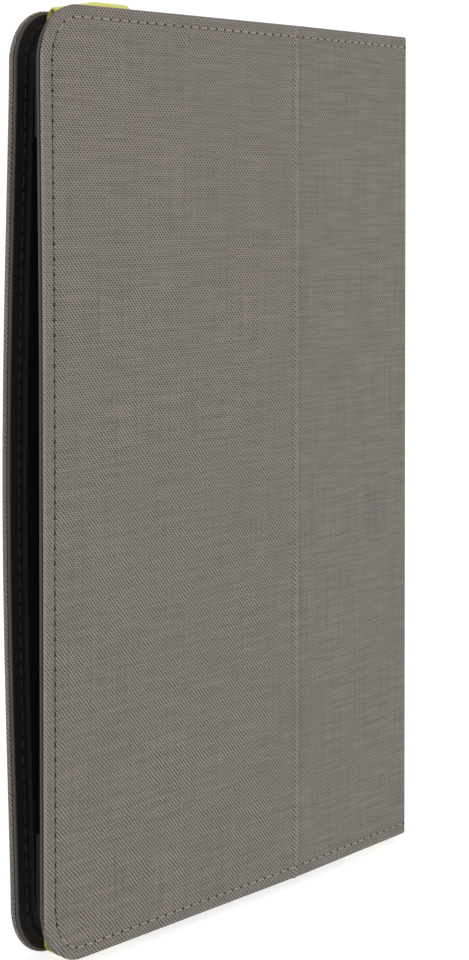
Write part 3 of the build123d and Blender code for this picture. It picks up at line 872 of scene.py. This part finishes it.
# ------------------------------------------------------------------ keycaps
KB_X, KB_Z, KB_Y = -36.2, 135.0, -7.2
UNIT, ROW, GAP, FN = 16.0, 16.0, 2.0, 10.5
rows = [
    [("modifier_keys", 1.25), ("modifier_keys", 1), ("modifier_keys", 1), ("modifier_keys", 1.25), ("space_bar", 5),
     ("modifier_keys", 1), ("modifier_keys", 1), ("left_arrow_key", 1), ("down_arrow_key", 1), ("right_arrow_key", 1)],
    [("left_shift_key", 2.25)] + [("lower_letter_keys", 1)] * 10 + [("right_shift_key", 1.25), ("up_arrow_key", 1)],
    [("caps_lock_key", 1.75)] + [("middle_letter_keys", 1)] * 11 + [("enter_key", 1.75)],
    [("tab_key", 1.5)] + [("upper_letter_keys", 1)] * 13,
    [("number_keys", 1)] * 13 + [("backspace_key", 1.5)],
    [("function_keys", 14.5 / 14)] * 14,
]
caps = {}
y_row = -56.0 + 4.5
for n_row, names in enumerate(rows):
    deep = FN if n_row == 5 else ROW
    xk = -14.5 * UNIT / 2
    for nm, units in names:
        caps.setdefault(nm, []).append((xk + units * UNIT / 2, y_row + deep / 2, units * UNIT - GAP, deep - GAP))
        xk += units * UNIT
    y_row += deep


def rounded_ring(w, d, r, n=5):
    pts = []
    for cx, cy, a0 in ((w / 2 - r, d / 2 - r, 0), (-w / 2 + r, d / 2 - r, 90), (-w / 2 + r, -d / 2 + r, 180), (w / 2 - r, -d / 2 + r, 270)):
        for k in range(n + 1):
            a = radians(a0 + 90 * k / n)
            pts.append((cx + r * cos(a), cy + r * sin(a)))
    return pts


for nm, items in caps.items():
    verts, faces = [], []
    for cx, cy, w, d in items:
        base = len(verts)
        levels = [(0.05, 0.0, 3.22), (0.0, 0.0, 3.5), (0.12, 0.1, 4.35), (0.2, 0.15, 4.58), (0.36, 0.25, 4.72), (0.62, 0.4, 4.785), (1.1, 0.6, 4.79), (2.2, 1.0, 4.74)]
        nring = None
        for ins, dr, hgt in levels:
            ring = rounded_ring(w - 2 * ins, d - 2 * ins, max(1.2 - dr * 0.5, 0.5))
            nring = len(ring)
            for px, py in ring:
                verts.append((KB_X + cy + py, KB_Y + hgt, KB_Z + cx + px))
        for l in range(len(levels) - 1):
            for k in range(nring):
                a = base + l * nring + k
                b = base + l * nring + (k + 1) % nring
                faces.append((a, a + nring, b + nring, b))
        top = base + (len(levels) - 1) * nring
        verts.append((KB_X + cy, KB_Y + 4.66, KB_Z + cx))
        mid = len(verts) - 1
        for k in range(nring):
            faces.append((top + k, mid, top + (k + 1) % nring))
        faces.append(tuple(base + k for k in range(nring)))
    ob = make_object("cap_" + nm, verts, faces)
    ob.data.materials.append(m_key)
    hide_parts(nm)
    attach(ob, nm)

# ------------------------------------------------------------------ stage
def stage():
    m, nt, b = new_mat("studio_floor")
    n = N(nt)
    g = n.noise(n.obj(), 3.0, 2.0)
    nt.links.new(n.mixc(g, (0.27, 0.27, 0.27), (0.29, 0.29, 0.29)), b.inputs["Base Color"])
    b.inputs["Roughness"].default_value = 0.85
    b.inputs["Specular IOR Level"].default_value = 0.1
    b.inputs["Emission Color"].default_value = (1.0, 1.0, 1.0, 1.0)
    b.inputs["Emission Strength"].default_value = 0.82
    verts, faces = [], []
    r = 6.0
    k = 48
    verts.append((0, 0, 0.0))
    for ring, (rad, z) in enumerate(((0.5, 0), (2, 0), (4, 0), (5, 0.15), (5.8, 0.7), (6.1, 1.6), (6.2, 4.0))):
        for i in range(k):
            a = 2 * pi * i / k
            verts.append((rad * cos(a), rad * sin(a), z ))
    for i in range(k):
        faces.append((0, 1 + i, 1 + (i + 1) % k))
    for ring in range(6):
        for i in range(k):
            a = 1 + ring * k + i
            b_ = 1 + ring * k + (i + 1) % k
            faces.append((a, a + k, b_ + k, b_))
    me = bpy.data.meshes.new("studio_floor")
    me.from_pydata(verts, [], faces)
    me.polygons.foreach_set("use_smooth", [True] * len(me.polygons))
    ob = bpy.data.objects.new("studio_floor", me)
    scene.collection.objects.link(ob)
    me.materials.append(m)


stage()

world = bpy.data.worlds.new("studio")
scene.world = world
world.use_nodes = True
bg = world.node_tree.nodes["Background"]
bg.inputs[0].default_value = (1.0, 1.0, 1.0, 1.0)
bg.inputs[1].default_value = 0.86


def area(name, loc, target, size, power, size_y=None):
    l = bpy.data.lights.new(name, "AREA")
    l.energy = power
    l.size = size
    if size_y:
        l.shape = "RECTANGLE"
        l.size_y = size_y
    o = bpy.data.objects.new(name, l)
    scene.collection.objects.link(o)
    o.location = loc
    d = Vector(target) - Vector(loc)
    o.rotation_euler = d.to_track_quat("-Z", "Y").to_euler()
    return o


area("key", (-1.0, -1.2, 0.9), (0, 0, 0.14), 0.8, 8.0)
area("fill", (0.9, -1.5, 0.7), (0, 0, 0.13), 1.4, 2.0)

# ------------------------------------------------------------------ camera
PITCH = radians(1.5)
cam = bpy.data.cameras.new("camera")
cam.lens = 95.667
cam.sensor_width = 36.0
cam.sensor_fit = "AUTO"
cam.shift_y = -0.2205
cam.clip_start = 0.05
co = bpy.data.objects.new("camera", cam)
scene.collection.objects.link(co)
co.location = (-0.62757, -0.45605, 0.21284)
fwd = Vector((cos(0.6254), sin(0.6254), 0))
fwd = (fwd * cos(PITCH) + Vector((0, 0, -sin(PITCH)))).normalized()
co.rotation_euler = fwd.to_track_quat("-Z", "Y").to_euler()
scene.camera = co
scene.view_settings.view_transform = "Standard"
scene.view_settings.look = "None"
scene.view_settings.exposure = 0.0
